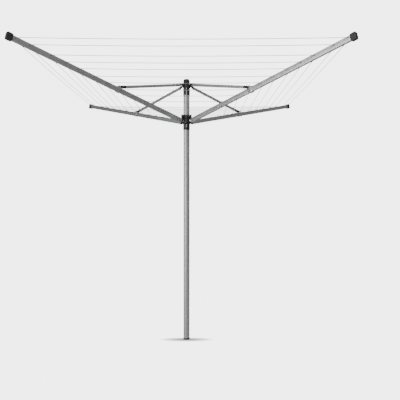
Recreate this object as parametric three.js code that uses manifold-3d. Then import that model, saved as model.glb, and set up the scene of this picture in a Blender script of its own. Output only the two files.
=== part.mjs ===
// Rotary clothesline: four folding arms on an umbrella linkage that slides and turns on one mast.
// Millimetres. +Z runs up the mast and the origin is the middle of the foot's underside.
import * as THREE from 'three';
import { mergeVertices } from 'three/addons/utils/BufferGeometryUtils.js';
import Module from 'manifold-3d';

const wasm = await Module();
wasm.setup();

// ---- driving dimensions -------------------------------------------------------------------
const GAP = 0.3;
const ARM_AZIMUTHS = [-45, 45, 135, 225].map(THREE.MathUtils.degToRad);

const MAST = { radius: 25, wall: 1.5, bottom: 12.3, top: 2118 };
const FOOT = { radius: 26.5, height: 12, plugLength: 60 };
const CAP = { radius: 27, bottom: 2108, shoulder: 2122, top: 2137 };
const CAP_LOOP = { width: 48, eyeWidth: 29, eyeHeight: 8.5 };

// The linkage is isosceles: both pivots of a pair stand at one radius, and both links have one length.
const HUB_PIVOT_RADIUS = 46;
const LOWER_PIVOT_Z = 1830;
const UPPER_PIVOT_Z = 2086;
const KNEE_RADIUS = 669;
const TIP_RADIUS = 1475;

const HUB = { bore: 25.5, radius: 28, lugGap: 5.1, earThickness: 3, earRadius: 8.5 };
const REST_FLANGE = { radius: 40, bottom: 1770, top: 1785 };
const LOWER_HUB = { bottom: 1716, top: 1837, collarBottom: 1809, collarRadius: 29.5 };
const UPPER_HUB = { bottom: 2001, top: 2093, collarBottom: 2071, collarRadius: 29 };
const SLOT_WIDTH = 7;
const PIN = { radius: 2.5, headRadius: 4.6, headThickness: 1.6 };

const ARM = { width: 22, height: 36, wall: 1.3, corner: 4, drop: 44.2, start: 6 };
const ARM_SLOPE = THREE.MathUtils.degToRad(13.37);
const STRUT = { width: 14, height: 22, wall: 1.2, corner: 4, hubDrop: 6, kneeDrop: 5.2, start: 30, end: 576 };
const TIP_CAP = { length: 40, width: 27, height: 48, socket: 26, bevel: 3 };
const BRACKET = { length: 28, wall: 2.2, earRadius: 8, pinRadius: 2.5 };

const LINE = { radius: 1.8, holeRise: 7, sagShare: 0.005, steps: 4, sides: 4, stepOffset: 3 };
const LOOP_RADII = [1422, 1332, 1195, 1096, 998, 880, 775, 654, 545, 437];
const LINE_HOLE_RADIUS = 3;

const LEVER = { pivotY: 39, pivotZ: 1752, length: 74, width: 22, thickness: 6, pinRadius: 2.5 };

// ---- worked-out dimensions ----------------------------------------------------------------
const kneeZ = (LOWER_PIVOT_Z + UPPER_PIVOT_Z) / 2;
const linkAngle = Math.atan2(kneeZ - LOWER_PIVOT_Z, KNEE_RADIUS - HUB_PIVOT_RADIUS);
const linkLength = Math.hypot(kneeZ - LOWER_PIVOT_Z, KNEE_RADIUS - HUB_PIVOT_RADIUS);
const kneeOnArm = {
  along: linkLength * Math.cos(linkAngle - ARM_SLOPE),
  up: linkLength * Math.sin(linkAngle - ARM_SLOPE),
};
const alongArm = (radius, up) => (radius - HUB_PIVOT_RADIUS + up * Math.sin(ARM_SLOPE)) / Math.cos(ARM_SLOPE);
const armTip = alongArm(TIP_RADIUS, -ARM.drop);
const lineUp = -ARM.drop + LINE.holeRise;
const loopHoles = LOOP_RADII.map((radius) => alongArm(radius, lineUp));
const loopHeight = (hole) => LOWER_PIVOT_Z + hole * Math.sin(ARM_SLOPE) + lineUp * Math.cos(ARM_SLOPE);
const bracketWidth = ARM.width + 2 * (GAP + BRACKET.wall);
const strutTilt = Math.atan((STRUT.hubDrop - STRUT.kneeDrop) / linkLength);
const kneeEyeRadius = kneeOnArm.up + ARM.drop - ARM.height / 2 - 2 * GAP;

// ---- shapes and solids --------------------------------------------------------------------
function solidOf(geometry) {
  geometry.deleteAttribute('normal');
  geometry.deleteAttribute('uv');
  const welded = mergeVertices(geometry, 1e-4);
  return new wasm.Manifold(new wasm.Mesh({
    numProp: 3,
    vertProperties: new Float32Array(welded.attributes.position.array),
    triVerts: new Uint32Array(welded.index.array),
  }));
}

function geometryOf(solid) {
  const mesh = solid.getMesh();
  const geometry = new THREE.BufferGeometry();
  geometry.setAttribute('position', new THREE.BufferAttribute(new Float32Array(mesh.vertProperties), 3));
  geometry.setIndex(new THREE.BufferAttribute(new Uint32Array(mesh.triVerts), 1));
  return geometry;
}

const unite = (solids) => solids.reduce((whole, solid) => whole.add(solid));

function rounded(width, height, corner) {
  const x = width / 2;
  const y = height / 2;
  const shape = new THREE.Shape();
  shape.moveTo(-x + corner, -y);
  shape.lineTo(x - corner, -y);
  shape.absarc(x - corner, -y + corner, corner, -Math.PI / 2, 0);
  shape.lineTo(x, y - corner);
  shape.absarc(x - corner, y - corner, corner, 0, Math.PI / 2);
  shape.lineTo(-x + corner, y);
  shape.absarc(-x + corner, y - corner, corner, Math.PI / 2, Math.PI);
  shape.lineTo(-x, -y + corner);
  shape.absarc(-x + corner, -y + corner, corner, Math.PI, Math.PI * 1.5);
  return shape;
}

function polygon(points) {
  return new THREE.Shape(points.map(([x, y]) => new THREE.Vector2(x, y)));
}

// A section across (Y, Z) pushed along X from one station to another.
function beam(shape, from, to) {
  const settings = { depth: to - from, bevelEnabled: false, curveSegments: 2 };
  const geometry = new THREE.ExtrudeGeometry(shape, settings);
  const axes = new THREE.Matrix4().makeBasis(
    new THREE.Vector3(0, 1, 0),
    new THREE.Vector3(0, 0, 1),
    new THREE.Vector3(1, 0, 0),
  );
  return geometry.applyMatrix4(axes).translate(from, 0, 0);
}

// A side outline in (X, Z) pushed along Y from one station to another.
function plate(shape, from, to, options = {}) {
  const bevel = options.bevel ?? 0;
  const geometry = new THREE.ExtrudeGeometry(shape, {
    depth: to - from - 2 * bevel,
    bevelEnabled: bevel > 0,
    bevelThickness: bevel,
    bevelSize: bevel,
    bevelOffset: -bevel,
    bevelSegments: 1,
    curveSegments: options.curveSegments ?? 4,
  });
  return geometry.rotateX(Math.PI / 2).translate(0, to - bevel, 0);
}

function rod(radius, from, to, x, z, sides = 12) {
  return new THREE.CylinderGeometry(radius, radius, to - from, sides).translate(x, (from + to) / 2, z);
}

// A closed (radius, height) outline turned about the Z axis.
function turned(profile, segments = 32) {
  const points = profile.map(([radius, height]) => new THREE.Vector2(radius, height));
  return new THREE.LatheGeometry(points, segments).rotateX(Math.PI / 2);
}

function ring(inner, outer, bottom, top, segments = 32) {
  return turned([[inner, bottom], [outer, bottom], [outer, top], [inner, top], [inner, bottom]], segments);
}

// Placing: arm pieces are drawn from the lower hub's pivot, strut pieces from the upper hub's.
const onArm = (geometry, azimuth) => geometry
  .rotateY(-ARM_SLOPE)
  .translate(HUB_PIVOT_RADIUS, 0, LOWER_PIVOT_Z)
  .rotateZ(azimuth);
// A strut's tube runs a little below the line between its pivots, more so at the hub.
const onStrutAxis = (geometry) => geometry.rotateY(-strutTilt).translate(0, 0, -STRUT.hubDrop);
const onStrut = (geometry, azimuth) => geometry
  .rotateY(linkAngle)
  .translate(HUB_PIVOT_RADIUS, 0, UPPER_PIVOT_Z)
  .rotateZ(azimuth);

const ALUMINIUM = { color: 0xb4b7b9, metalness: 0.9, roughness: 0.4 };
const BLACK_PLASTIC = { color: 0x17191a, metalness: 0, roughness: 0.45 };
const STEEL = { color: 0xa9adb0, metalness: 1, roughness: 0.3 };
const LINE_PVC = { color: 0xc9cccd, metalness: 0, roughness: 0.5 };

const group = new THREE.Group();
group.name = 'rotary_clothesline';

function addPart(name, geometry, look) {
  const mesh = new THREE.Mesh(geometry, new THREE.MeshStandardMaterial(look));
  mesh.name = name;
  group.add(mesh);
}

// ---- foot and mast ------------------------------------------------------------------------
const plugRadius = MAST.radius - MAST.wall - GAP;
addPart('foot_plug', turned([
  [0, 0],
  [FOOT.radius - 1, 0],
  [FOOT.radius, 1],
  [FOOT.radius, FOOT.height],
  [plugRadius, FOOT.height],
  [plugRadius, FOOT.plugLength - 3],
  [plugRadius - 3, FOOT.plugLength],
  [0, FOOT.plugLength],
]), BLACK_PLASTIC);

addPart('mast_tube', ring(MAST.radius - MAST.wall, MAST.radius, MAST.bottom, MAST.top, 36), ALUMINIUM);

const capDome = turned([
  [0, MAST.top + GAP],
  [MAST.radius + GAP, MAST.top + GAP],
  [MAST.radius + GAP, CAP.bottom],
  [CAP.radius - 0.8, CAP.bottom],
  [CAP.radius, CAP.bottom + 1],
  [CAP.radius, CAP.shoulder - 2],
  [CAP.radius - 2.5, CAP.shoulder + 1],
  [CAP.radius - 8, CAP.shoulder + 3],
  [0, CAP.shoulder + 3],
], 32);
const loopHalf = CAP_LOOP.width / 2;
const loopOutline = new THREE.Shape();
loopOutline.moveTo(-loopHalf, CAP.shoulder - 1);
loopOutline.lineTo(loopHalf, CAP.shoulder - 1);
loopOutline.bezierCurveTo(loopHalf, CAP.top - 3, loopHalf * 0.7, CAP.top, 0, CAP.top);
loopOutline.bezierCurveTo(-loopHalf * 0.7, CAP.top, -loopHalf, CAP.top - 3, -loopHalf, CAP.shoulder - 1);
const eye = new THREE.Path();
eye.absellipse(0, CAP.shoulder + 6, CAP_LOOP.eyeWidth / 2, CAP_LOOP.eyeHeight / 2, 0, Math.PI * 2, true);
loopOutline.holes.push(eye);
const capLoop = plate(loopOutline, -5, 5);
const capEye = plate(new THREE.Shape(eye.getPoints(20).reverse()), -40, 40);
const mastCap = solidOf(capDome).add(solidOf(capLoop)).subtract(solidOf(capEye));
addPart('mast_cap', geometryOf(mastCap), BLACK_PLASTIC);

// ---- hubs ---------------------------------------------------------------------------------
const earInner = HUB.lugGap;
const earOuter = HUB.lugGap + HUB.earThickness;

function hubSleeve(size) {
  return turned([
    [HUB.bore, size.bottom],
    [HUB.radius - 0.8, size.bottom],
    [HUB.radius, size.bottom + 1.5],
    [HUB.radius, size.collarBottom - 1.5],
    [size.collarRadius, size.collarBottom],
    [size.collarRadius, size.top - 1.5],
    [size.collarRadius - 1.2, size.top],
    [HUB.bore, size.top],
    [HUB.bore, size.bottom],
  ]);
}

// One cheek of a hub's fork: a web from the sleeve out to a round eye about the pivot.
function earOutline(pivotZ, webBottom, webTop) {
  const outline = new THREE.Shape();
  outline.moveTo(HUB.bore + 1, webBottom);
  outline.lineTo(HUB_PIVOT_RADIUS - 4, pivotZ - HUB.earRadius + 0.7);
  outline.absarc(HUB_PIVOT_RADIUS, pivotZ, HUB.earRadius, -1.9, 1.9);
  outline.lineTo(HUB.bore + 1, webTop);
  return outline;
}

function hubBody(size, pivotZ, webBottom, webTop, slotBottom, slotTop) {
  let hub = solidOf(hubSleeve(size));
  for (const azimuth of ARM_AZIMUTHS) {
    for (const side of [-1, 1]) {
      const from = side > 0 ? earInner : -earOuter;
      const ear = plate(earOutline(pivotZ, webBottom, webTop), from, from + HUB.earThickness);
      hub = hub.add(solidOf(ear.rotateZ(azimuth)));
    }
    const hole = rod(PIN.radius + GAP, -20, 20, HUB_PIVOT_RADIUS, pivotZ);
    hub = hub.subtract(solidOf(hole.rotateZ(azimuth)));
    const slot = new THREE.BoxGeometry(20, SLOT_WIDTH, slotTop - slotBottom)
      .translate(HUB.bore + 6, 0, (slotTop + slotBottom) / 2)
      .rotateZ(azimuth + Math.PI / 4);
    hub = hub.subtract(solidOf(slot));
  }
  return hub.subtract(solidOf(ring(1, HUB.bore, size.bottom - 5, size.top + 5)));
}

// A turned piece whose axis runs along Y at (x, z), from a (radius, y) outline.
function turnedAcross(profile, x, z, segments = 12) {
  const points = profile.map(([radius, y]) => new THREE.Vector2(radius, y));
  return new THREE.LatheGeometry(points, segments).translate(x, 0, z);
}

// A pin across the Y axis with a head at each end.
function headedPin(radius, headRadius, reach, x, z) {
  const end = reach + PIN.headThickness;
  return turnedAcross([
    [0, -end],
    [headRadius, -end],
    [headRadius, -reach],
    [radius, -reach],
    [radius, reach],
    [headRadius, reach],
    [headRadius, end],
    [0, end],
  ], x, z);
}

// Two plates at the back of the lower hub carry the release lever's pin.
const leverLugs = [-1, 1].map((side) => {
  const outline = polygon([
    [HUB.bore + 1, LEVER.pivotZ - 16],
    [LEVER.pivotY + 2, LEVER.pivotZ - 7],
    [LEVER.pivotY + 7, LEVER.pivotZ - 2],
    [LEVER.pivotY + 7, LEVER.pivotZ + 3],
    [LEVER.pivotY + 2, LEVER.pivotZ + 8],
    [HUB.bore - 3, LEVER.pivotZ + 16],
  ]);
  const from = side > 0 ? LEVER.width / 2 + GAP : -LEVER.width / 2 - GAP - 4;
  return solidOf(plate(outline, from, from + 4).rotateZ(Math.PI / 2));
});
const leverPinHole = rod(LEVER.pinRadius + GAP, -30, 30, LEVER.pivotY, LEVER.pivotZ, 12).rotateZ(Math.PI / 2);
const restFlange = turned([
  [HUB.bore + 1, REST_FLANGE.bottom - 4],
  [REST_FLANGE.radius, REST_FLANGE.bottom],
  [REST_FLANGE.radius, REST_FLANGE.top],
  [HUB.bore + 1, REST_FLANGE.top + 4],
  [HUB.bore + 1, REST_FLANGE.bottom - 4],
]);
const lowerHub = hubBody(LOWER_HUB, LOWER_PIVOT_Z, 1802, 1837, 1738, 1762)
  .add(solidOf(restFlange))
  .add(unite(leverLugs))
  .subtract(solidOf(leverPinHole))
  .subtract(solidOf(ring(1, HUB.bore, LOWER_HUB.bottom - 5, LOWER_HUB.top + 5)));
addPart('lower_hub', geometryOf(lowerHub), BLACK_PLASTIC);

const upperHub = hubBody(UPPER_HUB, UPPER_PIVOT_Z, 2058, 2093, UPPER_HUB.bottom - 5, 2062);
addPart('upper_hub', geometryOf(upperHub), BLACK_PLASTIC);

// ---- release lever ------------------------------------------------------------------------
const leverOutline = polygon([
  [-5.5, -4],
  [-2.5, -6],
  [3, -8],
  [6, -LEVER.length * 0.55],
  [11, -LEVER.length],
  [11 + LEVER.thickness, -LEVER.length + 2],
  [11 + LEVER.thickness - 2, -LEVER.length * 0.62],
  [8, -2],
  [6.5, 4],
  [2, 6.5],
  [-3, 6],
  [-5.5, 2],
]);
const halfLever = LEVER.width / 2;
const leverSolid = solidOf(plate(leverOutline, -halfLever, halfLever, { bevel: 0.8 }))
  .subtract(solidOf(rod(LEVER.pinRadius + GAP, -30, 30, 0, 0, 12)))
  .subtract(solidOf(new THREE.BoxGeometry(26, 10.6, 17).translate(0, 0, 0.8)));
const leverPlace = new THREE.Matrix4()
  .makeRotationZ(Math.PI / 2)
  .multiply(new THREE.Matrix4().makeTranslation(LEVER.pivotY, 0, LEVER.pivotZ));
addPart('release_lever', geometryOf(leverSolid).applyMatrix4(leverPlace), BLACK_PLASTIC);
addPart(
  'release_pin',
  rod(LEVER.pinRadius, -halfLever - 5, halfLever + 5, LEVER.pivotY, LEVER.pivotZ, 12).rotateZ(Math.PI / 2),
  STEEL,
);

class Coil extends THREE.Curve {
  constructor(radius, length, turns) {
    super();
    this.size = { radius, length, turns };
  }

  getPoint(share, target = new THREE.Vector3()) {
    const angle = share * this.size.turns * Math.PI * 2;
    const across = (share - 0.5) * this.size.length;
    return target.set(this.size.radius * Math.cos(angle), across, this.size.radius * Math.sin(angle));
  }
}
const wire = new THREE.Shape();
wire.absarc(0, 0, 0.7, 0, Math.PI * 2);
const spring = new THREE.ExtrudeGeometry(wire, {
  steps: 44,
  curveSegments: 2,
  extrudePath: new Coil(3.9, 8, 4),
});
addPart('release_spring', spring.applyMatrix4(leverPlace), STEEL);

// ---- arms, struts and lines ---------------------------------------------------------------
function tubeSection(size) {
  const section = rounded(size.width, size.height, size.corner);
  const inside = rounded(size.width - 2 * size.wall, size.height - 2 * size.wall, size.corner - size.wall);
  section.holes.push(new THREE.Path(inside.getPoints(2).reverse()));
  return section;
}

// The arm's outside with clearance, drawn where the tube runs.
const armRoom = (from, to) => beam(
  rounded(ARM.width + 2 * GAP, ARM.height + 2 * GAP, ARM.corner + GAP),
  from,
  to,
).translate(0, 0, -ARM.drop);

function armTube() {
  const end = armTip - TIP_CAP.length + TIP_CAP.socket;
  let tube = solidOf(beam(tubeSection(ARM), ARM.start, end).translate(0, 0, -ARM.drop));
  for (const hole of loopHoles) {
    tube = tube.subtract(solidOf(rod(LINE_HOLE_RADIUS, -20, 20, hole, lineUp, 6)));
  }
  return geometryOf(tube);
}

const plugSection = (tube) => rounded(
  tube.width - 2 * tube.wall - 2 * GAP,
  tube.height - 2 * tube.wall - 2 * GAP,
  tube.corner - tube.wall,
);
const lugHalf = HUB.lugGap - 0.5;

// Black end piece of an arm: a plug in the tube and a lug that climbs to the lower hub's pin.
function armRoot() {
  const plug = solidOf(beam(plugSection(ARM), ARM.start - 3, ARM.start + 30).translate(0, 0, -ARM.drop));
  const reach = HUB.earRadius - 0.5;
  const outline = new THREE.Shape();
  outline.moveTo(-reach + 2.5, -ARM.drop - ARM.height / 2 + 2);
  outline.lineTo(ARM.start - GAP, -ARM.drop - ARM.height / 2 + 2);
  outline.lineTo(ARM.start - GAP, -ARM.drop + ARM.height / 2);
  outline.lineTo(reach, 0);
  outline.absarc(0, 0, reach, 0, Math.PI);
  const lug = solidOf(plate(outline, -lugHalf, lugHalf));
  return geometryOf(plug.add(lug).subtract(solidOf(rod(PIN.radius + GAP, -20, 20, 0, 0))));
}

function tipCap() {
  const block = plate(rounded(TIP_CAP.length, TIP_CAP.height, 8), -TIP_CAP.width / 2, TIP_CAP.width / 2, {
    bevel: TIP_CAP.bevel,
    curveSegments: 3,
  });
  const cap = solidOf(block.translate(armTip - TIP_CAP.length / 2, 0, -ARM.drop));
  const end = armTip - TIP_CAP.length + TIP_CAP.socket + GAP;
  return geometryOf(cap.subtract(solidOf(armRoom(end - TIP_CAP.length - 20, end))));
}

// A saddle under the arm whose two sides rise above it to hold the knee's pin.
function kneeBracket() {
  const half = BRACKET.length / 2;
  const bottom = -ARM.drop - ARM.height / 2 - GAP - BRACKET.wall;
  const middle = kneeOnArm.along;
  const outline = new THREE.Shape();
  outline.moveTo(middle - half, bottom + 3);
  outline.lineTo(middle - half + 3, bottom);
  outline.lineTo(middle + half - 3, bottom);
  outline.lineTo(middle + half, bottom + 3);
  outline.lineTo(middle + half, lineUp + 4);
  outline.absarc(middle, kneeOnArm.up, BRACKET.earRadius, 0, Math.PI);
  outline.lineTo(middle - half, lineUp + 4);
  const above = new THREE.BoxGeometry(BRACKET.length * 2, ARM.width + 2 * GAP, 60);
  return geometryOf(solidOf(plate(outline, -bracketWidth / 2, bracketWidth / 2))
    .subtract(solidOf(armRoom(middle - 40, middle + 40)))
    .subtract(solidOf(above.translate(middle, 0, 30 - ARM.drop)))
    .subtract(solidOf(rod(BRACKET.pinRadius + GAP, -30, 30, middle, kneeOnArm.up))));
}

function strutTube() {
  return onStrutAxis(beam(tubeSection(STRUT), STRUT.start, STRUT.end));
}

// Inner end of a strut: a plug in the tube and a lug that turns on the upper hub's pin.
function strutRoot() {
  const plug = solidOf(onStrutAxis(beam(plugSection(STRUT), STRUT.start - 4, STRUT.start + 24)));
  const reach = HUB.earRadius - 0.5;
  const end = STRUT.start - 2 * GAP;
  const outline = new THREE.Shape();
  outline.moveTo(end, -STRUT.hubDrop - STRUT.height / 2 + 1);
  outline.lineTo(end, -STRUT.hubDrop + STRUT.height / 2);
  outline.lineTo(reach * 0.6, reach * 0.8);
  outline.absarc(0, 0, reach, 0.93, 3.6);
  const lug = solidOf(plate(outline, -lugHalf, lugHalf));
  return geometryOf(plug.add(lug).subtract(solidOf(rod(PIN.radius + GAP, -20, 20, 0, 0))));
}

// Outer end of a strut: a plug, a body flush with the tube and an eye between the bracket's sides.
function strutEnd() {
  const plug = solidOf(onStrutAxis(beam(plugSection(STRUT), STRUT.end - 24, STRUT.end + 4)));
  const body = solidOf(onStrutAxis(beam(
    rounded(STRUT.width, STRUT.height, STRUT.corner),
    STRUT.end + GAP,
    linkLength - 20,
  )));
  const neck = solidOf(beam(rounded(STRUT.width, 12, 3), linkLength - 24, linkLength - 3));
  const eye = solidOf(rod(kneeEyeRadius, -ARM.width / 2, ARM.width / 2, linkLength, 0, 20));
  return geometryOf(unite([plug, body, neck, eye])
    .subtract(solidOf(rod(BRACKET.pinRadius + GAP, -30, 30, linkLength, 0))));
}

// A path that runs straight from knot to knot.
class KnottedPath extends THREE.Curve {
  constructor(knots) {
    super();
    this.knots = knots;
  }

  getPoint(share, target = new THREE.Vector3()) {
    const place = Math.min(Math.max(share, 0), 1) * (this.knots.length - 1);
    const index = Math.min(Math.floor(place), this.knots.length - 2);
    return target.lerpVectors(this.knots[index], this.knots[index + 1], place - index);
  }

  getPointAt(share, target) {
    return this.getPoint(share, target);
  }

  getTangentAt(share, target) {
    return this.getTangent(share, target);
  }
}

// The whole line in one length: ten square rings through the arms' holes. Each ring starts and ends
// inside the first arm, where the line steps on to the next ring's hole.
function dryingLine() {
  const upAxis = new THREE.Vector3(0, 0, 1);
  const mouth = bracketWidth / 2 + 1;
  const knots = [];
  LOOP_RADII.forEach((radius, index) => {
    const height = loopHeight(loopHoles[index]);
    const atArm = (side, arm) => new THREE.Vector3(radius, side, height)
      .applyAxisAngle(upAxis, ARM_AZIMUTHS[0] + arm * Math.PI / 2);
    knots.push(atArm(LINE.stepOffset, 0));
    for (let arm = 0; arm < 4; arm += 1) {
      const start = atArm(mouth, arm);
      const end = atArm(-mouth, arm + 1);
      const sag = start.distanceTo(end) * LINE.sagShare;
      for (let step = 0; step <= LINE.steps; step += 1) {
        const share = step / LINE.steps;
        const knot = start.clone().lerp(end, share);
        knot.z -= 4 * sag * share * (1 - share);
        knots.push(knot);
      }
    }
    knots.push(atArm(-LINE.stepOffset, 4));
  });
  const round = new THREE.Shape();
  round.absarc(0, 0, LINE.radius, 0, Math.PI * 2);
  return new THREE.ExtrudeGeometry(round, {
    steps: knots.length - 1,
    curveSegments: LINE.sides / 2,
    extrudePath: new KnottedPath(knots),
  });
}

const hubPin = (pivotZ) => headedPin(PIN.radius, PIN.headRadius, earOuter + GAP, HUB_PIVOT_RADIUS, pivotZ);
const kneePin = () => headedPin(
  BRACKET.pinRadius,
  PIN.headRadius,
  bracketWidth / 2 + GAP,
  kneeOnArm.along,
  kneeOnArm.up,
);

ARM_AZIMUTHS.forEach((azimuth, index) => {
  const number = index + 1;
  addPart(`lower_hub_pin_${number}`, hubPin(LOWER_PIVOT_Z).rotateZ(azimuth), STEEL);
  addPart(`upper_hub_pin_${number}`, hubPin(UPPER_PIVOT_Z).rotateZ(azimuth), STEEL);
  addPart(`arm_tube_${number}`, onArm(armTube(), azimuth), ALUMINIUM);
  addPart(`arm_root_${number}`, onArm(armRoot(), azimuth), BLACK_PLASTIC);
  addPart(`arm_tip_${number}`, onArm(tipCap(), azimuth), BLACK_PLASTIC);
  addPart(`knee_bracket_${number}`, onArm(kneeBracket(), azimuth), ALUMINIUM);
  addPart(`knee_pin_${number}`, onArm(kneePin(), azimuth), STEEL);
  addPart(`strut_tube_${number}`, onStrut(strutTube(), azimuth), ALUMINIUM);
  addPart(`strut_root_${number}`, onStrut(strutRoot(), azimuth), BLACK_PLASTIC);
  addPart(`strut_end_${number}`, onStrut(strutEnd(), azimuth), BLACK_PLASTIC);
});
addPart('drying_line', dryingLine(), LINE_PVC);

export default group;
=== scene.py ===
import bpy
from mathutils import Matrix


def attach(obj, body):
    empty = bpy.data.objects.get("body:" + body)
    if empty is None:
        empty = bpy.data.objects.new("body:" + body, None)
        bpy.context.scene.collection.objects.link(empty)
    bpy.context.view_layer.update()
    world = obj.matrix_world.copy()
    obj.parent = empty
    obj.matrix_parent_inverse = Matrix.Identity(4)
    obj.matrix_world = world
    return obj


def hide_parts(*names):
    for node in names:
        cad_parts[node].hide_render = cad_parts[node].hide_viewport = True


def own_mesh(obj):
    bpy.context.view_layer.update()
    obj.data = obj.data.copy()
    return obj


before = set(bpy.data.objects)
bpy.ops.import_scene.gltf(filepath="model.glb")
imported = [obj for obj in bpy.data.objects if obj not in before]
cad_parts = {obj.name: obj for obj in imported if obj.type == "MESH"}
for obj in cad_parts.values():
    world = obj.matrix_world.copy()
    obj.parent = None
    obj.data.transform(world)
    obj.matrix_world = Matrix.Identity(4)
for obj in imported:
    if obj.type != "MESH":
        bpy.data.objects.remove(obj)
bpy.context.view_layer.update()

# Rotary clothesline: the finished model, built round the CAD frame. Lengths here are in millimetres
# until piece() scales a mesh to the frame's metres.
import math

import bmesh
import bpy
from mathutils import Matrix, Vector
from mathutils.geometry import tessellate_polygon

# ---- driving dimensions, the same as the CAD model's ---------------------------------------
ARM_AZIMUTHS = [math.radians(angle) for angle in (-45, 45, 135, 225)]
MAST = {"radius": 25.0, "wall": 1.5, "bottom": 12.3, "top": 2118.0}
FOOT = {"radius": 26.5, "height": 12.0, "plug_top": 60.0}
CAP = {"radius": 27.0, "skirt": 2094.0, "groove": 2113.1, "shoulder": 2122.0, "top": 2137.0}
CAP_LOOP = {"half_width": 24.0, "half_depth": 5.0, "fullness": 0.7}
CAP_EYE = {"half_width": 13.5, "half_height": 3.6, "rise": 6.0}
HUB_PIVOT_RADIUS = 46.0
LOWER_PIVOT_Z = 1830.0
UPPER_PIVOT_Z = 2086.0
KNEE_RADIUS = 669.0
TIP_RADIUS = 1475.0
HUB = {"bore": 25.5, "radius": 28.0, "lug_gap": 5.1, "ear": 3.0, "ear_radius": 8.5}
REST_FLANGE = {"radius": 40.0, "bottom": 1770.0, "top": 1785.0}
LOWER_HUB = {"pivot": LOWER_PIVOT_Z, "bottom": 1716.0, "top": 1837.0, "collar_bottom": 1809.0,
             "collar_radius": 29.5, "ear_bottom": 1802.0, "slot_bottom": 1738.0, "slot_top": 1762.0,
             "grooves": (1722, 1727, 1732, 1737)}
UPPER_HUB = {"pivot": UPPER_PIVOT_Z, "bottom": 2001.0, "top": 2093.0, "collar_bottom": 2071.0,
             "collar_radius": 29.0, "ear_bottom": 2058.0, "slot_bottom": 1996.0, "slot_top": 2062.0,
             "grooves": (2010,)}
SLOT_WIDTH = 7.0
PIN = {"radius": 2.5, "head": 4.6, "head_thickness": 1.6}
ARM = {"width": 22.0, "height": 36.0, "wall": 1.3, "corner": 4.0, "drop": 44.2, "start": 6.0}
ARM_SLOPE = math.radians(13.37)
STRUT = {"width": 14.0, "height": 22.0, "wall": 1.2, "corner": 4.0, "hub_drop": 6.0, "knee_drop": 5.2,
         "start": 30.0, "end": 576.0}
TIP_CAP = {"length": 40.0, "width": 27.0, "height": 48.0, "socket": 26.0}
BRACKET = {"length": 28.0, "wall": 2.2, "ear_radius": 8.0, "pin": 2.5}
LINE = {"radius": 1.8, "rise": 7.0, "sag_share": 0.005}
LOOP_RADII = (1422, 1332, 1195, 1096, 998, 880, 775, 654, 545, 437)
LINE_HOLE = 3.0
SPRING = {"radius": 3.9, "wire": 0.7, "length": 8.0, "turns": 4, "steps": 96}
LEVER = {"y": 39.0, "z": 1752.0, "length": 74.0, "width": 22.0, "thickness": 6.0, "pin": 2.5}
GAP = 0.3

# ---- worked-out dimensions -----------------------------------------------------------------
knee_rise = (UPPER_PIVOT_Z - LOWER_PIVOT_Z) / 2
link_angle = math.atan2(knee_rise, KNEE_RADIUS - HUB_PIVOT_RADIUS)
link_length = math.hypot(knee_rise, KNEE_RADIUS - HUB_PIVOT_RADIUS)
knee_x = link_length * math.cos(link_angle - ARM_SLOPE)
knee_z = link_length * math.sin(link_angle - ARM_SLOPE)
line_up = -ARM["drop"] + LINE["rise"]
bracket_width = ARM["width"] + 2 * (GAP + BRACKET["wall"])
strut_tilt = math.atan((STRUT["hub_drop"] - STRUT["knee_drop"]) / link_length)
knee_eye = knee_z + ARM["drop"] - ARM["height"] / 2 - 2 * GAP
lug_half = HUB["lug_gap"] - 0.5
lug_reach = HUB["ear_radius"] - 0.5
line_mouth = bracket_width / 2 + 1
ear_outer = HUB["lug_gap"] + HUB["ear"]


def along_arm(radius, up):
    return (radius - HUB_PIVOT_RADIUS + up * math.sin(ARM_SLOPE)) / math.cos(ARM_SLOPE)


arm_tip = along_arm(TIP_RADIUS, -ARM["drop"])
loop_holes = [along_arm(radius, line_up) for radius in LOOP_RADII]


def hole_height(hole):
    return LOWER_PIVOT_Z + hole * math.sin(ARM_SLOPE) + line_up * math.cos(ARM_SLOPE)


# ---- places --------------------------------------------------------------------------------
def about_mast(azimuth):
    return Matrix.Rotation(azimuth, 4, "Z")


def arm_place(azimuth):
    pivot = Matrix.Translation((HUB_PIVOT_RADIUS, 0, LOWER_PIVOT_Z))
    return about_mast(azimuth) @ pivot @ Matrix.Rotation(-ARM_SLOPE, 4, "Y")


def strut_place(azimuth):
    pivot = Matrix.Translation((HUB_PIVOT_RADIUS, 0, UPPER_PIVOT_Z))
    return about_mast(azimuth) @ pivot @ Matrix.Rotation(link_angle, 4, "Y")


# A strut's tube runs a little below the line between its pivots, more so at the hub.
on_strut_axis = Matrix.Translation((0, 0, -STRUT["hub_drop"])) @ Matrix.Rotation(-strut_tilt, 4, "Y")


# ---- outlines ------------------------------------------------------------------------------
def arc(cx, cz, radius, start, end, steps):
    angles = [start + (end - start) * step / steps for step in range(steps + 1)]
    return [(cx + radius * math.cos(angle), cz + radius * math.sin(angle)) for angle in angles]


def circle(cx, cz, radius, steps=32):
    return arc(cx, cz, radius, 0, 2 * math.pi * (1 - 1 / steps), steps - 1)


def rounded_box(width, height, corner, cx=0.0, cz=0.0, steps=6):
    x, z = width / 2 - corner, height / 2 - corner
    quarter = math.pi / 2
    corners = ((x, z, 0), (-x, z, 1), (-x, -z, 2), (x, -z, 3))
    points = []
    for px, pz, turn in corners:
        points += arc(cx + px, cz + pz, corner, turn * quarter, (turn + 1) * quarter, steps)
    return points


def rounded_polygon(points, corner, steps=4):
    """The polygon with each corner turned into a short curve."""
    result = []
    count = len(points)
    for index, point in enumerate(points):
        here = Vector(point)
        before = Vector(points[index - 1]) - here
        after = Vector(points[(index + 1) % count]) - here
        reach = min(corner, before.length * 0.45, after.length * 0.45)
        first = here + before.normalized() * reach
        last = here + after.normalized() * reach
        for step in range(steps + 1):
            share = step / steps
            bend = first.lerp(here, share).lerp(here.lerp(last, share), share)
            result.append(tuple(bend))
    return result


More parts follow.
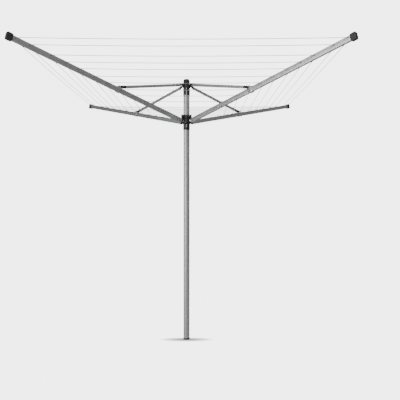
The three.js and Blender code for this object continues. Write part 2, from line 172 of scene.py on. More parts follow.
# ---- meshes --------------------------------------------------------------------------------
def mesh_from(bm, name="mesh"):
    bmesh.ops.remove_doubles(bm, verts=bm.verts, dist=1e-4)
    bmesh.ops.recalc_face_normals(bm, faces=bm.faces)
    mesh = bpy.data.meshes.new(name)
    bm.to_mesh(mesh)
    bm.free()
    return mesh


def turned(profile, segments=64):
    """A closed solid from a (radius, height) outline turned about Z, closed on itself or on the axis."""
    bm = bmesh.new()
    rings = []
    for radius, height in profile:
        if radius < 1e-6:
            rings.append([bm.verts.new((0, 0, height))])
            continue
        angles = [2 * math.pi * step / segments for step in range(segments)]
        rings.append([bm.verts.new((radius * math.cos(a), radius * math.sin(a), height)) for a in angles])
    closes = profile[0][0] > 1e-6 and profile[-1][0] > 1e-6
    pairs = list(zip(rings, rings[1:])) + ([(rings[-1], rings[0])] if closes else [])
    for low, high in pairs:
        for step in range(segments):
            following = (step + 1) % segments
            corners = [low[step % len(low)], low[following % len(low)]]
            corners += [high[following % len(high)], high[step % len(high)]]
            distinct = list(dict.fromkeys(corners))
            if len(distinct) > 2:
                bm.faces.new(distinct)
    return mesh_from(bm)


def wound(points, anticlockwise):
    twice_area = sum(a[0] * b[1] - b[0] * a[1] for a, b in zip(points, points[1:] + points[:1]))
    return points if (twice_area > 0) == anticlockwise else points[::-1]


def inset(points, distance):
    """The closed outline moved to its left by a distance, each corner along its mitre."""
    moved_points = []
    count = len(points)
    for index, point in enumerate(points):
        here = Vector(point)
        before = (here - Vector(points[index - 1])).normalized()
        after = (Vector(points[(index + 1) % count]) - here).normalized()
        mitre = Vector((-before.y - after.y, before.x + after.x))
        moved_points.append(tuple(here + mitre * (2 * distance / max(mitre.length_squared, 1.0))))
    return moved_points


def plate(outlines, y_from, y_to, bevel=0.8, steps=2):
    """A flat piece in the XZ plane between two Y stations: a rim, then any holes."""
    loops = [wound(list(points), index == 0) for index, points in enumerate(outlines)]
    levels = [(y_from, 0.0), (y_to, 0.0)]
    if bevel:
        turns = [math.pi / 2 * step / steps for step in range(steps + 1)]
        rise = [(bevel * (1 - math.cos(turn)), bevel * (1 - math.sin(turn))) for turn in turns]
        levels = [(y_from + up, back) for up, back in rise]
        levels += [(y_to - up, back) for up, back in reversed(rise)]
    bm = bmesh.new()
    faces_of = {0: [], len(levels) - 1: []}
    for points in loops:
        rings = []
        for level, (y, back) in enumerate(levels):
            spots = inset(points, back) if back else points
            rings.append([bm.verts.new((x, y, z)) for x, z in spots])
            if level in faces_of:
                faces_of[level].append(rings[-1])
        for low, high in zip(rings, rings[1:]):
            for step in range(len(points)):
                following = (step + 1) % len(points)
                bm.faces.new((low[step], low[following], high[following], high[step]))
    for rims in faces_of.values():
        verts = [vert for rim in rims for vert in rim]
        for corners in tessellate_polygon([[vert.co for vert in rim] for rim in rims]):
            bm.faces.new([verts[corner] for corner in corners])
    return mesh_from(bm)


def beam(outline, x_from, x_to, hollow=None, bevel=0.0):
    """A (y, z) outline pushed along X, with bevelled ends; hollow is an inner outline with as many points."""
    bm = bmesh.new()
    middle = Vector((sum(y for y, _ in outline), sum(z for _, z in outline))) / len(outline)

    def ring(points, x, inset=0.0):
        verts = []
        for y, z in points:
            offset = Vector((y, z)) - middle
            place = middle + offset * (1 - inset / max(offset.length, 1e-6))
            verts.append(bm.verts.new((x, place.x, place.y)))
        return verts

    stations = [(x_from, 0), (x_to, 0)]
    if bevel:
        stations = [(x_from, bevel), (x_from + bevel, 0), (x_to - bevel, 0), (x_to, bevel)]
    outer = [ring(outline, x, inset) for x, inset in stations]
    inner = [ring(hollow, x) for x in (x_from, x_to)] if hollow else []
    count = len(outline)

    def skin(low, high):
        for step in range(count):
            following = (step + 1) % count
            bm.faces.new((low[step], low[following], high[following], high[step]))

    for low, high in zip(outer, outer[1:]):
        skin(low, high)
    if hollow:
        skin(inner[1], inner[0])
        skin(inner[0], outer[0])
        skin(outer[-1], inner[1])
    else:
        bm.faces.new(outer[0])
        bm.faces.new(outer[-1])
    return mesh_from(bm)


def swept(points, radius, sides=10):
    """A round closed tube along a list of points."""
    bm = bmesh.new()
    rings = []
    path = [Vector(point) for point in points]
    lead = (path[1] - path[0]).normalized()
    side = lead.orthogonal().normalized()
    for index, place in enumerate(path):
        before = path[max(index - 1, 0)]
        after = path[min(index + 1, len(path) - 1)]
        ahead = (after - before).normalized()
        side = (side - ahead * side.dot(ahead)).normalized()
        across = ahead.cross(side)
        angles = [2 * math.pi * step / sides for step in range(sides)]
        spokes = [side * math.cos(angle) + across * math.sin(angle) for angle in angles]
        rings.append([bm.verts.new(place + spoke * radius) for spoke in spokes])
    for low, high in zip(rings, rings[1:]):
        for step in range(sides):
            following = (step + 1) % sides
            bm.faces.new((low[step], low[following], high[following], high[step]))
    bm.faces.new(rings[0])
    bm.faces.new(rings[-1])
    return mesh_from(bm)


def box(x_size, y_size, z_size, centre):
    bm = bmesh.new()
    bmesh.ops.create_cube(bm, size=1.0)
    bmesh.ops.scale(bm, vec=(x_size, y_size, z_size), verts=bm.verts)
    bmesh.ops.translate(bm, vec=centre, verts=bm.verts)
    return mesh_from(bm)


def across(profile, x=0.0, z=0.0, segments=24):
    """A (radius, y) outline turned about a line along Y through (x, z)."""
    mesh = turned(profile, segments)
    mesh.transform(Matrix.Translation((x, 0, z)) @ Matrix.Rotation(-math.pi / 2, 4, "X"))
    return mesh


def drill(radius, x, z, reach=40.0, segments=24):
    return across([(0, -reach), (radius, -reach), (radius, reach), (0, reach)], x, z, segments)


def moved(mesh, matrix):
    copy = mesh.copy()
    copy.transform(matrix)
    return copy


def joined(meshes):
    bm = bmesh.new()
    for mesh in meshes:
        bm.from_mesh(mesh)
    whole = bpy.data.meshes.new("joined")
    bm.to_mesh(whole)
    bm.free()
    return whole


def boolean(base, tools, operation):
    """base with every tool joined to it or cut from it."""
    holder = bpy.data.objects.new("base", base)
    bpy.context.scene.collection.objects.link(holder)
    helpers = []
    for tool in tools:
        helper = bpy.data.objects.new("tool", tool)
        bpy.context.scene.collection.objects.link(helper)
        step = holder.modifiers.new("cut", "BOOLEAN")
        step.operation = operation
        step.solver = "EXACT"
        step.object = helper
        helpers.append(helper)
    bpy.context.view_layer.update()
    result = bpy.data.meshes.new_from_object(holder.evaluated_get(bpy.context.evaluated_depsgraph_get()))
    for helper in helpers + [holder]:
        bpy.data.objects.remove(helper)
    result.materials.clear()
    return result


def cut(base, *tools):
    return boolean(base, tools, "DIFFERENCE")


def unite(base, *tools):
    return boolean(base, tools, "UNION")


# ---- materials -----------------------------------------------------------------------------
def new_material(name):
    material = bpy.data.materials.new(name)
    material.use_nodes = True
    tree = material.node_tree
    return material, tree, tree.nodes["Principled BSDF"]


def noise(tree, scale, detail, stretch=(1, 1, 1)):
    place = tree.nodes.new("ShaderNodeTexCoord")
    mapping = tree.nodes.new("ShaderNodeMapping")
    mapping.inputs["Scale"].default_value = stretch
    texture = tree.nodes.new("ShaderNodeTexNoise")
    texture.inputs["Scale"].default_value = scale
    texture.inputs["Detail"].default_value = detail
    tree.links.new(place.outputs["Object"], mapping.inputs["Vector"])
    tree.links.new(mapping.outputs["Vector"], texture.inputs["Vector"])
    return texture.outputs["Fac"]


def ramp(tree, factor, low, high, target):
    """Colours or greys that run between two values with the factor."""
    node = tree.nodes.new("ShaderNodeValToRGB")
    for stop, value in zip(node.color_ramp.elements, (low, high)):
        stop.color = (*value, 1) if isinstance(value, tuple) else (value, value, value, 1)
    node.color_ramp.elements[0].position = 0.3
    node.color_ramp.elements[1].position = 0.7
    tree.links.new(factor, node.inputs["Fac"])
    tree.links.new(node.outputs["Color"], target)


def bump(tree, factor, strength, distance, shader):
    node = tree.nodes.new("ShaderNodeBump")
    node.inputs["Strength"].default_value = strength
    node.inputs["Distance"].default_value = distance
    tree.links.new(factor, node.inputs["Height"])
    tree.links.new(node.outputs["Normal"], shader.inputs["Normal"])


def aluminium(name, stretch, rough):
    material, tree, shader = new_material(name)
    shader.inputs["Metallic"].default_value = 1.0
    streaks = noise(tree, 60, 3, stretch)
    ramp(tree, streaks, (0.44, 0.445, 0.45), (0.50, 0.505, 0.51), shader.inputs["Base Color"])
    ramp(tree, noise(tree, 90, 2, stretch), rough, rough + 0.08, shader.inputs["Roughness"])
    bump(tree, streaks, 0.08, 0.0002, shader)
    return material


def black_plastic(name, gloss, grain=900):
    material, tree, shader = new_material(name)
    ramp(tree, noise(tree, 35, 2), (0.010, 0.011, 0.012), (0.018, 0.019, 0.020), shader.inputs["Base Color"])
    ramp(tree, noise(tree, 60, 3), gloss, gloss + 0.12, shader.inputs["Roughness"])
    bump(tree, noise(tree, grain, 2), 0.12, 0.0002, shader)
    return material


def steel(name):
    material, tree, shader = new_material(name)
    shader.inputs["Metallic"].default_value = 1.0
    ramp(tree, noise(tree, 220, 2), (0.50, 0.51, 0.53), (0.62, 0.63, 0.64), shader.inputs["Base Color"])
    ramp(tree, noise(tree, 300, 2), 0.24, 0.38, shader.inputs["Roughness"])
    return material


def line_coating(name):
    material, tree, shader = new_material(name)
    ramp(tree, noise(tree, 40, 2), (0.20, 0.21, 0.215), (0.25, 0.26, 0.26), shader.inputs["Base Color"])
    ramp(tree, noise(tree, 90, 2), 0.38, 0.5, shader.inputs["Roughness"])
    bump(tree, noise(tree, 700, 1), 0.1, 0.0002, shader)
    return material


MATERIALS = {
    "mast": aluminium("aluminium_mast", (1, 1, 0.03), 0.5),
    "arm": aluminium("aluminium_arm", (0.4, 0.4, 0.4), 0.32),
    "hub": black_plastic("black_hub", 0.42),
    "plastic": black_plastic("black_plastic", 0.46),
    "cap": black_plastic("black_cap", 0.66),
    "steel": steel("zinc_plated_steel"),
    "bush": line_coating("grey_bush"),
    "line": line_coating("line_coating"),
}


def piece(name, mesh, look, body, nodes=(), smooth=35):
    """A finished piece: the mesh in metres with its material, riding on a body and standing for CAD nodes."""
    mesh = mesh.copy()
    mesh.transform(Matrix.Scale(0.001, 4))
    mesh.name = name
    mesh.materials.clear()
    mesh.materials.append(MATERIALS[look])
    mesh.shade_smooth()
    mesh.set_sharp_from_angle(angle=math.radians(smooth))
    made = bpy.data.objects.new(name, mesh)
    bpy.context.scene.collection.objects.link(made)
    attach(made, body)
    if nodes:
        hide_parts(*nodes)
    return made


# ---- foot, mast and cap --------------------------------------------------------------------
plug_radius = MAST["radius"] - MAST["wall"] - GAP
foot_rim = [(FOOT["radius"] - 1.2, 0), *arc(FOOT["radius"] - 1.2, 1.2, 1.2, -math.pi / 2, 0, 4)]
foot_profile = [
    (0, 0), *foot_rim,
    *arc(FOOT["radius"] - 0.8, FOOT["height"] - 0.8, 0.8, 0, math.pi / 2, 4),
    (plug_radius, FOOT["height"]),
    (plug_radius, FOOT["plug_top"] - 3),
    (plug_radius - 3, FOOT["plug_top"]),
    (0, FOOT["plug_top"]),
]
piece("foot", turned(foot_profile, 96), "plastic", "foot", ["foot_plug"])

mast_inner = MAST["radius"] - MAST["wall"]
mast_profile = [
    (mast_inner, MAST["bottom"]),
    (MAST["radius"] - 0.4, MAST["bottom"]),
    (MAST["radius"], MAST["bottom"] + 0.4),
    (MAST["radius"], MAST["top"] - 0.4),
    (MAST["radius"] - 0.4, MAST["top"]),
    (mast_inner, MAST["top"]),
]
piece("mast", turned(mast_profile, 96), "mast", "mast", ["mast_tube"])


def mast_cap():
    """A skirt and dome over the mast's end, with a flat loop and its eye on top."""
    radius, shoulder = CAP["radius"], CAP["shoulder"]
    dome = turned([
        (0, MAST["top"] + GAP),
        (MAST["radius"] + GAP, MAST["top"] + GAP),
        (MAST["radius"] + GAP, CAP["skirt"]),
        (radius - 0.8, CAP["skirt"]),
        *arc(radius - 0.8, CAP["skirt"] + 0.8, 0.8, -math.pi / 2, 0, 3),
        (radius, CAP["groove"] - 1.1),
        (radius - 0.7, CAP["groove"] - 0.5),
        (radius - 0.7, CAP["groove"] + 0.5),
        (radius, CAP["groove"] + 1.1),
        *arc(radius - 4, shoulder - 2, 4, 0, math.pi / 2 * 0.72, 5),
        (radius - 8, shoulder + 2.9),
        (0, shoulder + 3),
    ], 96)
    half, height = CAP_LOOP["half_width"], CAP["top"] - shoulder + 1
    rim = []
    for x, z in arc(0, 0, 1, 0, math.pi, 28):
        across_loop = half * math.copysign(abs(x) ** CAP_LOOP["fullness"], x)
        rim.append((across_loop, shoulder - 1 + height * abs(z) ** CAP_LOOP["fullness"]))
    eye = []
    for x, z in circle(0, 0, 1, 28):
        eye.append((x * CAP_EYE["half_width"], shoulder + CAP_EYE["rise"] + z * CAP_EYE["half_height"]))
    arch = plate([rim], -CAP_LOOP["half_depth"], CAP_LOOP["half_depth"], 1.6, 4)
    opening = plate([eye], -40, 40, 0.0)
    return cut(unite(dome, arch), opening)


piece("mast_end_cap", mast_cap(), "cap", "mast", ["mast_cap"], 40)


# ---- hubs ----------------------------------------------------------------------------------
def hub_sleeve(size):
    """The sleeve and collar, with shallow grip grooves."""
    bore, radius, collar = HUB["bore"], HUB["radius"], size["collar_radius"]
    outline = [(bore, size["bottom"]), (radius - 1.2, size["bottom"])]
    outline += arc(radius - 1.2, size["bottom"] + 1.2, 1.2, -math.pi / 2, 0, 3)
    for height in size["grooves"]:
        outline += [(radius, height - 0.9), (radius - 0.8, height - 0.4)]
        outline += [(radius - 0.8, height + 0.4), (radius, height + 0.9)]
    outline += [(radius, size["collar_bottom"] - 2), (collar - 0.4, size["collar_bottom"])]
    outline += [(collar, size["collar_bottom"] + 0.6), (collar, size["top"] - 1.4)]
    outline += arc(collar - 1.4, size["top"] - 1.4, 1.4, 0, math.pi / 2, 4)
    outline += [(bore, size["top"])]
    return turned(outline, 96)


def ear_outline(pivot_z, web_bottom, web_top):
    root = HUB["bore"] + 1
    outline = [(root, web_bottom), (HUB_PIVOT_RADIUS - 4, pivot_z - HUB["ear_radius"] + 0.7)]
    return outline + arc(HUB_PIVOT_RADIUS, pivot_z, HUB["ear_radius"], -1.9, 1.9, 22) + [(root, web_top)]


def hub(size):
    """A sleeve with two ears for each arm, and slots through the sleeve between the arms."""
    ears = []
    slots = []
    hole = circle(HUB_PIVOT_RADIUS, size["pivot"], PIN["radius"] + GAP, 24)
    outline = ear_outline(size["pivot"], size["ear_bottom"], size["top"])
    slot_height = size["slot_top"] - size["slot_bottom"]
    slot_middle = (size["slot_top"] + size["slot_bottom"]) / 2
    for azimuth in ARM_AZIMUTHS:
        for side in (-1, 1):
            near = HUB["lug_gap"] if side > 0 else -ear_outer
            ear = plate([outline, hole], near, near + HUB["ear"], 0.7)
            ears.append(moved(ear, about_mast(azimuth)))
        slot = box(20, SLOT_WIDTH, slot_height, (HUB["bore"] + 6, 0, slot_middle))
        slots.append(moved(slot, about_mast(azimuth + math.pi / 4)))
    bore = turned([(0, size["bottom"] - 9), (HUB["bore"], size["bottom"] - 9), (HUB["bore"], size["top"] + 9),
                   (0, size["top"] + 9)], 96)
    return cut(unite(hub_sleeve(size), *ears), *slots, bore)


def rest_flange():
    """The round flange below the arms' inner ends."""
    root, rim, bottom, top = HUB["bore"] + 1, REST_FLANGE["radius"], REST_FLANGE["bottom"], REST_FLANGE["top"]
    outline = [(root, bottom - 4), (rim - 1.4, bottom - 0.4), (rim, bottom + 1.2)]
    return turned(outline + [(rim, top - 1.2), (rim - 1.4, top + 0.4), (root, top + 4)], 96)


def lever_lugs():
    y, z = LEVER["y"], LEVER["z"]
    outline = rounded_polygon([
        (HUB["bore"] + 1, z - 16),
        (y + 2, z - 7),
        (y + 7, z - 2),
        (y + 7, z + 3),
        (y + 2, z + 8),
        (HUB["bore"] + 1, z + 16),
    ], 3)
    hole = circle(y, z, LEVER["pin"] + GAP, 24)
    lugs = []
    for near in (LEVER["width"] / 2 + GAP, -LEVER["width"] / 2 - GAP - 4):
        lugs.append(moved(plate([outline, hole], near, near + 4, 0.6), about_mast(math.pi / 2)))
    return lugs


lower_hub = unite(hub(LOWER_HUB), rest_flange(), *lever_lugs())
upper_hub = hub(UPPER_HUB)
piece("lower_hub_moulding", lower_hub, "hub", "runner", ["lower_hub"], 40)
piece("upper_hub_moulding", upper_hub, "hub", "crown", ["upper_hub"], 40)


def domed_pin(reach, x, z):
    """A pin across Y with a low domed head at each end."""
    head, thick, radius = PIN["head"], PIN["head_thickness"], PIN["radius"]
    dome = [(head, reach), (head, reach + thick * 0.35), (head - 0.9, reach + thick * 0.8)]
    dome += [(head - 2.6, reach + thick), (0, reach + thick)]
    profile = [(r, -y) for r, y in reversed(dome)] + [(radius, -reach), (radius, reach)] + dome
    return across(profile, x, z, 24)


for number, azimuth in enumerate(ARM_AZIMUTHS, 1):
    turn = about_mast(azimuth)
    for level, word, body in ((LOWER_PIVOT_Z, "lower", "runner"), (UPPER_PIVOT_Z, "upper", "crown")):
        hub_pin = moved(domed_pin(ear_outer + GAP, HUB_PIVOT_RADIUS, level), turn)
        piece(f"{word}_pin_{number}", hub_pin, "steel", body, [f"{word}_hub_pin_{number}"])


# ---- release lever -------------------------------------------------------------------------
def release_lever():
    length, thickness, half = LEVER["length"], LEVER["thickness"], LEVER["width"] / 2
    outline = rounded_polygon([
        (-5.5, -4),
        (-2.5, -6),
        (3, -8),
        (6, -length * 0.55),
        (11, -length),
        (11 + thickness, -length + 2),
        (9 + thickness, -length * 0.62),
        (8, -2),
        (6.5, 4),
        (2, 6.5),
        (-3, 6),
        (-5.5, 2),
    ], 2.5)
    body = plate([outline], -half, half, 1.0, 3)
    notch = box(26, 10.6, 17, (0, 0, 0.8))
    grips = []
    for step in range(1, 6):
        grips.append(box(2, LEVER["width"] * 0.7, 1.2, (15.4 + 0.3 * step, 0, -length * 0.66 - 3.4 * step)))
    return cut(body, notch, drill(LEVER["pin"] + GAP, 0, 0), *grips)


lever_place = about_mast(math.pi / 2) @ Matrix.Translation((LEVER["y"], 0, LEVER["z"]))
piece("lever", moved(release_lever(), lever_place), "hub", "lever", ["release_lever"])
pin_half = LEVER["width"] / 2 + 5
pin_end = LEVER["pin"] - 0.5
lever_pin = across([
    (0, -pin_half), (pin_end, -pin_half), (LEVER["pin"], -pin_half + 0.5),
    (LEVER["pin"], pin_half - 0.5), (pin_end, pin_half), (0, pin_half),
])
piece("lever_pin", moved(lever_pin, lever_place), "steel", "runner", ["release_pin"])
coil = []
for step in range(SPRING["steps"] + 1):
    share = step / SPRING["steps"]
    angle = 2 * math.pi * SPRING["turns"] * share
    along = SPRING["length"] * (share - 0.5)
    coil.append((SPRING["radius"] * math.cos(angle), along, SPRING["radius"] * math.sin(angle)))
spring = moved(swept(coil, SPRING["wire"], 8), lever_place)
piece("lever_spring", spring, "steel", "runner", ["release_spring"], 60)


# ---- arm pieces, drawn from the lower pivot with X along the arm ----------------------------
def tube_outlines(size, up):
    width, height, corner, wall = (size[key] for key in ("width", "height", "corner", "wall"))
    outer = rounded_box(width, height, corner, 0, up)
    return outer, rounded_box(width - 2 * wall, height - 2 * wall, corner - wall, 0, up)


def arm_socket(x_from, x_to):
    room = rounded_box(ARM["width"] + 2 * GAP, ARM["height"] + 2 * GAP, ARM["corner"] + GAP, 0, -ARM["drop"])
    return beam(room, x_from, x_to)


def plug(size, up, x_from, x_to):
    width, height = (size[side] - 2 * size["wall"] - 2 * GAP for side in ("width", "height"))
    return beam(rounded_box(width, height, size["corner"] - size["wall"], 0, up), x_from, x_to)


def arm_tube():
    outer, inner = tube_outlines(ARM, -ARM["drop"])
    tube = beam(outer, ARM["start"], arm_tip - TIP_CAP["length"] + TIP_CAP["socket"], inner)
    return cut(tube, joined([drill(LINE_HOLE, hole, line_up, 20, 16) for hole in loop_holes]))


def arm_root():
    start, low, high = ARM["start"], -ARM["drop"] - ARM["height"] / 2, -ARM["drop"] + ARM["height"] / 2
    outline = [(-lug_reach + 2.5, low + 2), (start - GAP, low + 2), (start - GAP, high)]
    outline += arc(0, 0, lug_reach, 0, math.pi, 20)
    lug = plate([outline, circle(0, 0, PIN["radius"] + GAP, 24)], -lug_half, lug_half, 0.7)
    return unite(lug, plug(ARM, -ARM["drop"], start - 3, start + 30))


def tip_cap():
    length, width, height = TIP_CAP["length"], TIP_CAP["width"], TIP_CAP["height"]
    middle = arm_tip - length / 2
    block = plate([rounded_box(length, height, 8, middle, -ARM["drop"], 8)], -width / 2, width / 2, 3, 4)
    panels = []
    for side in (-1, 1):
        near = width / 2 - 0.8 if side > 0 else -width / 2 - 1
        for row in (-15, -5, 5, 15):
            rib = rounded_box(length - 14, 5.6, 2.4, middle, -ARM["drop"] + row, 4)
            panels.append(plate([rib], near, near + 1.8, 0.0))
    socket = arm_socket(arm_tip - length - 20, arm_tip - length + TIP_CAP["socket"] + GAP)
    return cut(block, socket, joined(panels))


def knee_bracket():
    """A saddle under the arm whose two sides rise above it to hold the knee's pin."""
    half = BRACKET["length"] / 2
    bottom = -ARM["drop"] - ARM["height"] / 2 - GAP - BRACKET["wall"]
    left, right = knee_x - half, knee_x + half
    outline = [(left, bottom + 3), (left + 0.9, bottom + 0.9), (left + 3, bottom)]
    outline += [(right - 3, bottom), (right - 0.9, bottom + 0.9), (right, bottom + 3), (right, line_up + 4)]
    outline += arc(knee_x, knee_z, BRACKET["ear_radius"], 0, math.pi, 20) + [(left, line_up + 4)]
    pin_hole = circle(knee_x, knee_z, BRACKET["pin"] + GAP, 24)
    saddle = plate([outline, pin_hole], -bracket_width / 2, bracket_width / 2, 0.7)
    above = box(BRACKET["length"] * 2, ARM["width"] + 2 * GAP, 60, (knee_x, 0, 30 - ARM["drop"]))
    return cut(saddle, arm_socket(knee_x - 60, knee_x + 60), above)


def eyelet():
    """A flanged bush through the arm, open for the line."""
    face, bore, flange = ARM["width"] / 2 + 0.05, LINE["radius"] + 0.4, 4.4
    half = [(LINE_HOLE - 0.2, face), (flange, face), (flange, face + 0.7), (flange - 0.8, face + 1.3)]
    half += [(bore + 0.5, face + 1.5), (bore, face + 1.0)]
    return across([(r, -y) for r, y in reversed(half)] + half, 0, 0, 20)


def strand_route(radius, azimuth):
    """The line's sagging way from one arm to the next, in the row's place."""
    height = hole_height(along_arm(radius, line_up))
    start = about_mast(azimuth) @ Vector((radius, line_mouth, height))
    end = about_mast(azimuth + math.pi / 2) @ Vector((radius, -line_mouth, height))
    sag = (end - start).length * LINE["sag_share"]
    steps = 24
    route = []
    for step in range(steps + 1):
        share = step / steps
        route.append(start.lerp(end, share) - Vector((0, 0, 4 * sag * share * (1 - share))))
    return route


def line_through(radius):
    """The short run of line through an arm's bush, bending towards the strand on either side."""
    hole = along_arm(radius, line_up)
    bend = 0.7071 * 2.0
    y = line_mouth - 2
    height = hole_height(hole)
    half = [(radius, y, height), (radius - bend * 0.5, y + bend * 0.9, height)]
    half.append((radius - bend * 1.7, y + bend * 1.7, height))
    return swept([(x, -across_arm, z) for x, across_arm, z in reversed(half)] + half, LINE["radius"], 10)


ARM_TUBE, ARM_ROOT, ARM_TIP, BRACKET_MESH = arm_tube(), arm_root(), tip_cap(), knee_bracket()
KNEE_PIN = domed_pin(bracket_width / 2 + GAP, knee_x, knee_z)
EYELETS = joined([moved(eyelet(), Matrix.Translation((hole, 0, line_up))) for hole in loop_holes])
LINE_RUNS = joined([line_through(radius) for radius in LOOP_RADII])


# ---- strut pieces, drawn from the upper pivot with X along the strut -------------------------
def strut_tube():
    outer, inner = tube_outlines(STRUT, 0)
    return moved(beam(outer, STRUT["start"], STRUT["end"], inner), on_strut_axis)


def strut_root():
    start, drop = STRUT["start"], STRUT["hub_drop"]
    end = start - 2 * GAP
    outline = [(end, -drop - STRUT["height"] / 2 + 1), (end, -drop + STRUT["height"] / 2)]
    outline += [(lug_reach * 0.6, lug_reach * 0.8)] + arc(0, 0, lug_reach, 0.98, 3.6, 16)
    lug = plate([outline, circle(0, 0, PIN["radius"] + GAP, 24)], -lug_half, lug_half, 0.7)
    return unite(lug, moved(plug(STRUT, 0, start - 4, start + 24), on_strut_axis))


def strut_end():
    """A plug, a body flush with the tube, and an eye that turns between the bracket's sides."""
    end, half = STRUT["end"], ARM["width"] / 2
    body = beam(rounded_box(STRUT["width"], STRUT["height"], STRUT["corner"]), end + GAP,
                link_length - 20, bevel=0.8)
    neck = beam(rounded_box(STRUT["width"], 12, 3), link_length - 24, link_length - 3)
    eye = across([
        (0, -half), (knee_eye - 0.8, -half), (knee_eye, -half + 0.8),
        (knee_eye, half - 0.8), (knee_eye - 0.8, half), (0, half),
    ], link_length, 0, 32)
    inner = plug(STRUT, 0, end - 24, end + 4)
    solid = unite(moved(body, on_strut_axis), moved(inner, on_strut_axis), neck, eye)
    return cut(solid, drill(BRACKET["pin"] + GAP, link_length, 0))


STRUT_TUBE, STRUT_ROOT, STRUT_END = strut_tube(), strut_root(), strut_end()

for number, azimuth in enumerate(ARM_AZIMUTHS, 1):
    arm, strut = f"arm_{number}", f"strut_{number}"
    on_arm, on_strut = arm_place(azimuth), strut_place(azimuth)
    piece(f"arm_{number}_tube", moved(ARM_TUBE, on_arm), "arm", arm, [f"arm_tube_{number}"])
    piece(f"arm_{number}_root", moved(ARM_ROOT, on_arm), "plastic", arm, [f"arm_root_{number}"])
    piece(f"arm_{number}_tip", moved(ARM_TIP, on_arm), "plastic", arm, [f"arm_tip_{number}"])
    piece(f"arm_{number}_bracket", moved(BRACKET_MESH, on_arm), "arm", arm, [f"knee_bracket_{number}"])
    piece(f"arm_{number}_knee_pin", moved(KNEE_PIN, on_arm), "steel", arm, [f"knee_pin_{number}"])
    piece(f"arm_{number}_line_bushes", moved(EYELETS, on_arm), "bush", arm)
    runs = piece(f"arm_{number}_line_runs", moved(LINE_RUNS, about_mast(azimuth)), "line", arm, (), 60)
    if number == 1:
        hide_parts("drying_line")
    piece(f"strut_{number}_tube", moved(STRUT_TUBE, on_strut), "arm", strut, [f"strut_tube_{number}"])
    piece(f"strut_{number}_root", moved(STRUT_ROOT, on_strut), "plastic", strut, [f"strut_root_{number}"])
    piece(f"strut_{number}_end", moved(STRUT_END, on_strut), "plastic", strut, [f"strut_end_{number}"])
    for ring, radius in enumerate(LOOP_RADII, 1):
        route = strand_route(radius, azimuth)
        strand_mesh = swept(route, LINE["radius"], 10)
        strand = piece(f"line_ring_{ring}_side_{number}", strand_mesh, "line", arm, (), 60)
        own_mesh(strand)

# ---- stage, light and camera ---------------------------------------------------------------
# The background's brightness to the camera, and the floor's as mirrored in metal. The foot's shadow is a
# painted shadow, an ellipse darkened into the floor's glow with these half-widths in metres, a little in
# front of the mast, with tones from rim to middle.
BACKGROUND = 4.6
MIRRORED_FLOOR = 0.45
SHADOW_REACH = (0.24, 0.06)
SHADOW_FORWARD = 0.013
SHADOW_TONES = ((0, 1), (0.3, 0.42), (0.6, 0.16), (1, 0.02))


def pale_floor():
    """Pale to the eye, with a painted soft shadow at the foot; softly mirrored in metal, dim to everything
    else.
    """
    material, tree, shader = new_material("pale_floor")
    shader.inputs["Base Color"].default_value = (0.12, 0.12, 0.12, 1)
    shader.inputs["Roughness"].default_value = 0.9
    place = tree.nodes.new("ShaderNodeTexCoord")
    # Painted shadow: the floor's glow to the camera is darkened in an ellipse round the foot, in place of a
    # cast shadow.
    spread = tree.nodes.new("ShaderNodeMapping")
    spread.inputs["Scale"].default_value = (1 / SHADOW_REACH[0], 1 / SHADOW_REACH[1], 0)
    spread.inputs["Location"].default_value = (0, SHADOW_FORWARD / SHADOW_REACH[1], 0)
    distance = tree.nodes.new("ShaderNodeTexGradient")
    distance.gradient_type = "SPHERICAL"
    painted_shadow_fade = tree.nodes.new("ShaderNodeValToRGB")
    stops = painted_shadow_fade.color_ramp.elements
    for share, _ in SHADOW_TONES[1:-1]:
        stops.new(share)
    for stop, (_, grey) in zip(stops, SHADOW_TONES):
        stop.color = (grey, grey, grey, 1)
    glow = tree.nodes.new("ShaderNodeEmission")
    glow.inputs["Strength"].default_value = BACKGROUND - 0.1
    both = tree.nodes.new("ShaderNodeAddShader")
    sheen = tree.nodes.new("ShaderNodeEmission")
    sheen.inputs["Strength"].default_value = MIRRORED_FLOOR
    mirrored = tree.nodes.new("ShaderNodeMixShader")
    chosen = tree.nodes.new("ShaderNodeMixShader")
    path = tree.nodes.new("ShaderNodeLightPath")
    tree.links.new(place.outputs["Object"], spread.inputs["Vector"])
    tree.links.new(spread.outputs["Vector"], distance.inputs["Vector"])
    tree.links.new(distance.outputs["Fac"], painted_shadow_fade.inputs["Fac"])
    tree.links.new(painted_shadow_fade.outputs["Color"], glow.inputs["Color"])
    tree.links.new(shader.outputs["BSDF"], both.inputs[0])
    tree.links.new(glow.outputs["Emission"], both.inputs[1])
    tree.links.new(path.outputs["Is Camera Ray"], chosen.inputs["Fac"])
    tree.links.new(path.outputs["Is Glossy Ray"], mirrored.inputs["Fac"])
    tree.links.new(shader.outputs["BSDF"], mirrored.inputs[1])
    tree.links.new(sheen.outputs["Emission"], mirrored.inputs[2])
    tree.links.new(mirrored.outputs["Shader"], chosen.inputs[1])
    tree.links.new(both.outputs["Shader"], chosen.inputs[2])
    tree.links.new(chosen.outputs["Shader"], tree.nodes["Material Output"].inputs["Surface"])
    return material


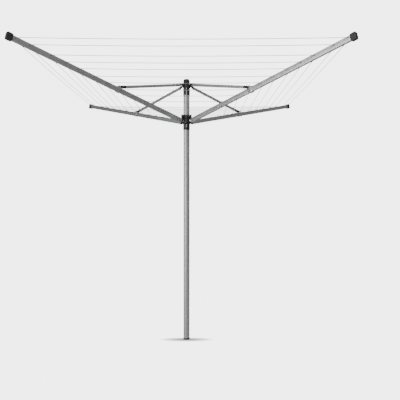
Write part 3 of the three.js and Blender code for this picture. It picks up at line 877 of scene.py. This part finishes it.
floor_mesh = turned([(0, 0), (9000, 0)], 96)
floor_mesh.transform(Matrix.Scale(0.001, 4))
floor_mesh.materials.append(pale_floor())
floor = bpy.data.objects.new("floor", floor_mesh)
floor.location.z = -0.001
bpy.context.scene.collection.objects.link(floor)

world = bpy.data.worlds.new("studio")
bpy.context.scene.world = world
world.use_nodes = True
world_tree = world.node_tree
seen = world_tree.nodes["Background"]
seen.inputs["Color"].default_value = (1, 1, 1, 1)
seen.inputs["Strength"].default_value = BACKGROUND
fill = world_tree.nodes.new("ShaderNodeBackground")
fill.inputs["Color"].default_value = (1, 1, 1, 1)
fill.inputs["Strength"].default_value = 0.34
ray = world_tree.nodes.new("ShaderNodeLightPath")
pick = world_tree.nodes.new("ShaderNodeMixShader")
world_tree.links.new(ray.outputs["Is Camera Ray"], pick.inputs["Fac"])
world_tree.links.new(fill.outputs["Background"], pick.inputs[1])
world_tree.links.new(seen.outputs["Background"], pick.inputs[2])
world_tree.links.new(pick.outputs["Shader"], world_tree.nodes["World Output"].inputs["Surface"])


def softbox(name, place, target, width, height, power):
    light = bpy.data.lights.new(name, "AREA")
    light.shape = "RECTANGLE"
    light.size, light.size_y = width, height
    light.energy = power
    lamp = bpy.data.objects.new(name, light)
    lamp.location = place
    lamp.rotation_euler = (Vector(target) - Vector(place)).to_track_quat("-Z", "Y").to_euler()
    bpy.context.scene.collection.objects.link(lamp)


softbox("key", (-3.2, -4.2, 3.6), (0, 0, 1.6), 2.6, 2.6, 108)
softbox("left_strip", (-3.6, -2.4, 1.0), (0, 0, 1.0), 1.8, 3.4, 110)
softbox("front_strip", (-0.6, -5.6, 1.0), (0, 0, 0.7), 0.6, 2.4, 48)
softbox("top", (0.6, 0.4, 5.2), (0, 0, 1.9), 3.6, 3.6, 200)

camera = bpy.data.objects.new("camera", bpy.data.cameras.new("camera"))
camera.data.lens = 41.2
camera.data.sensor_width = 36
camera.location = (0.108, -3.763, 1.148)
camera.rotation_euler = (math.radians(89.91), 0, math.radians(-0.04))
bpy.context.scene.collection.objects.link(camera)
bpy.context.scene.camera = camera
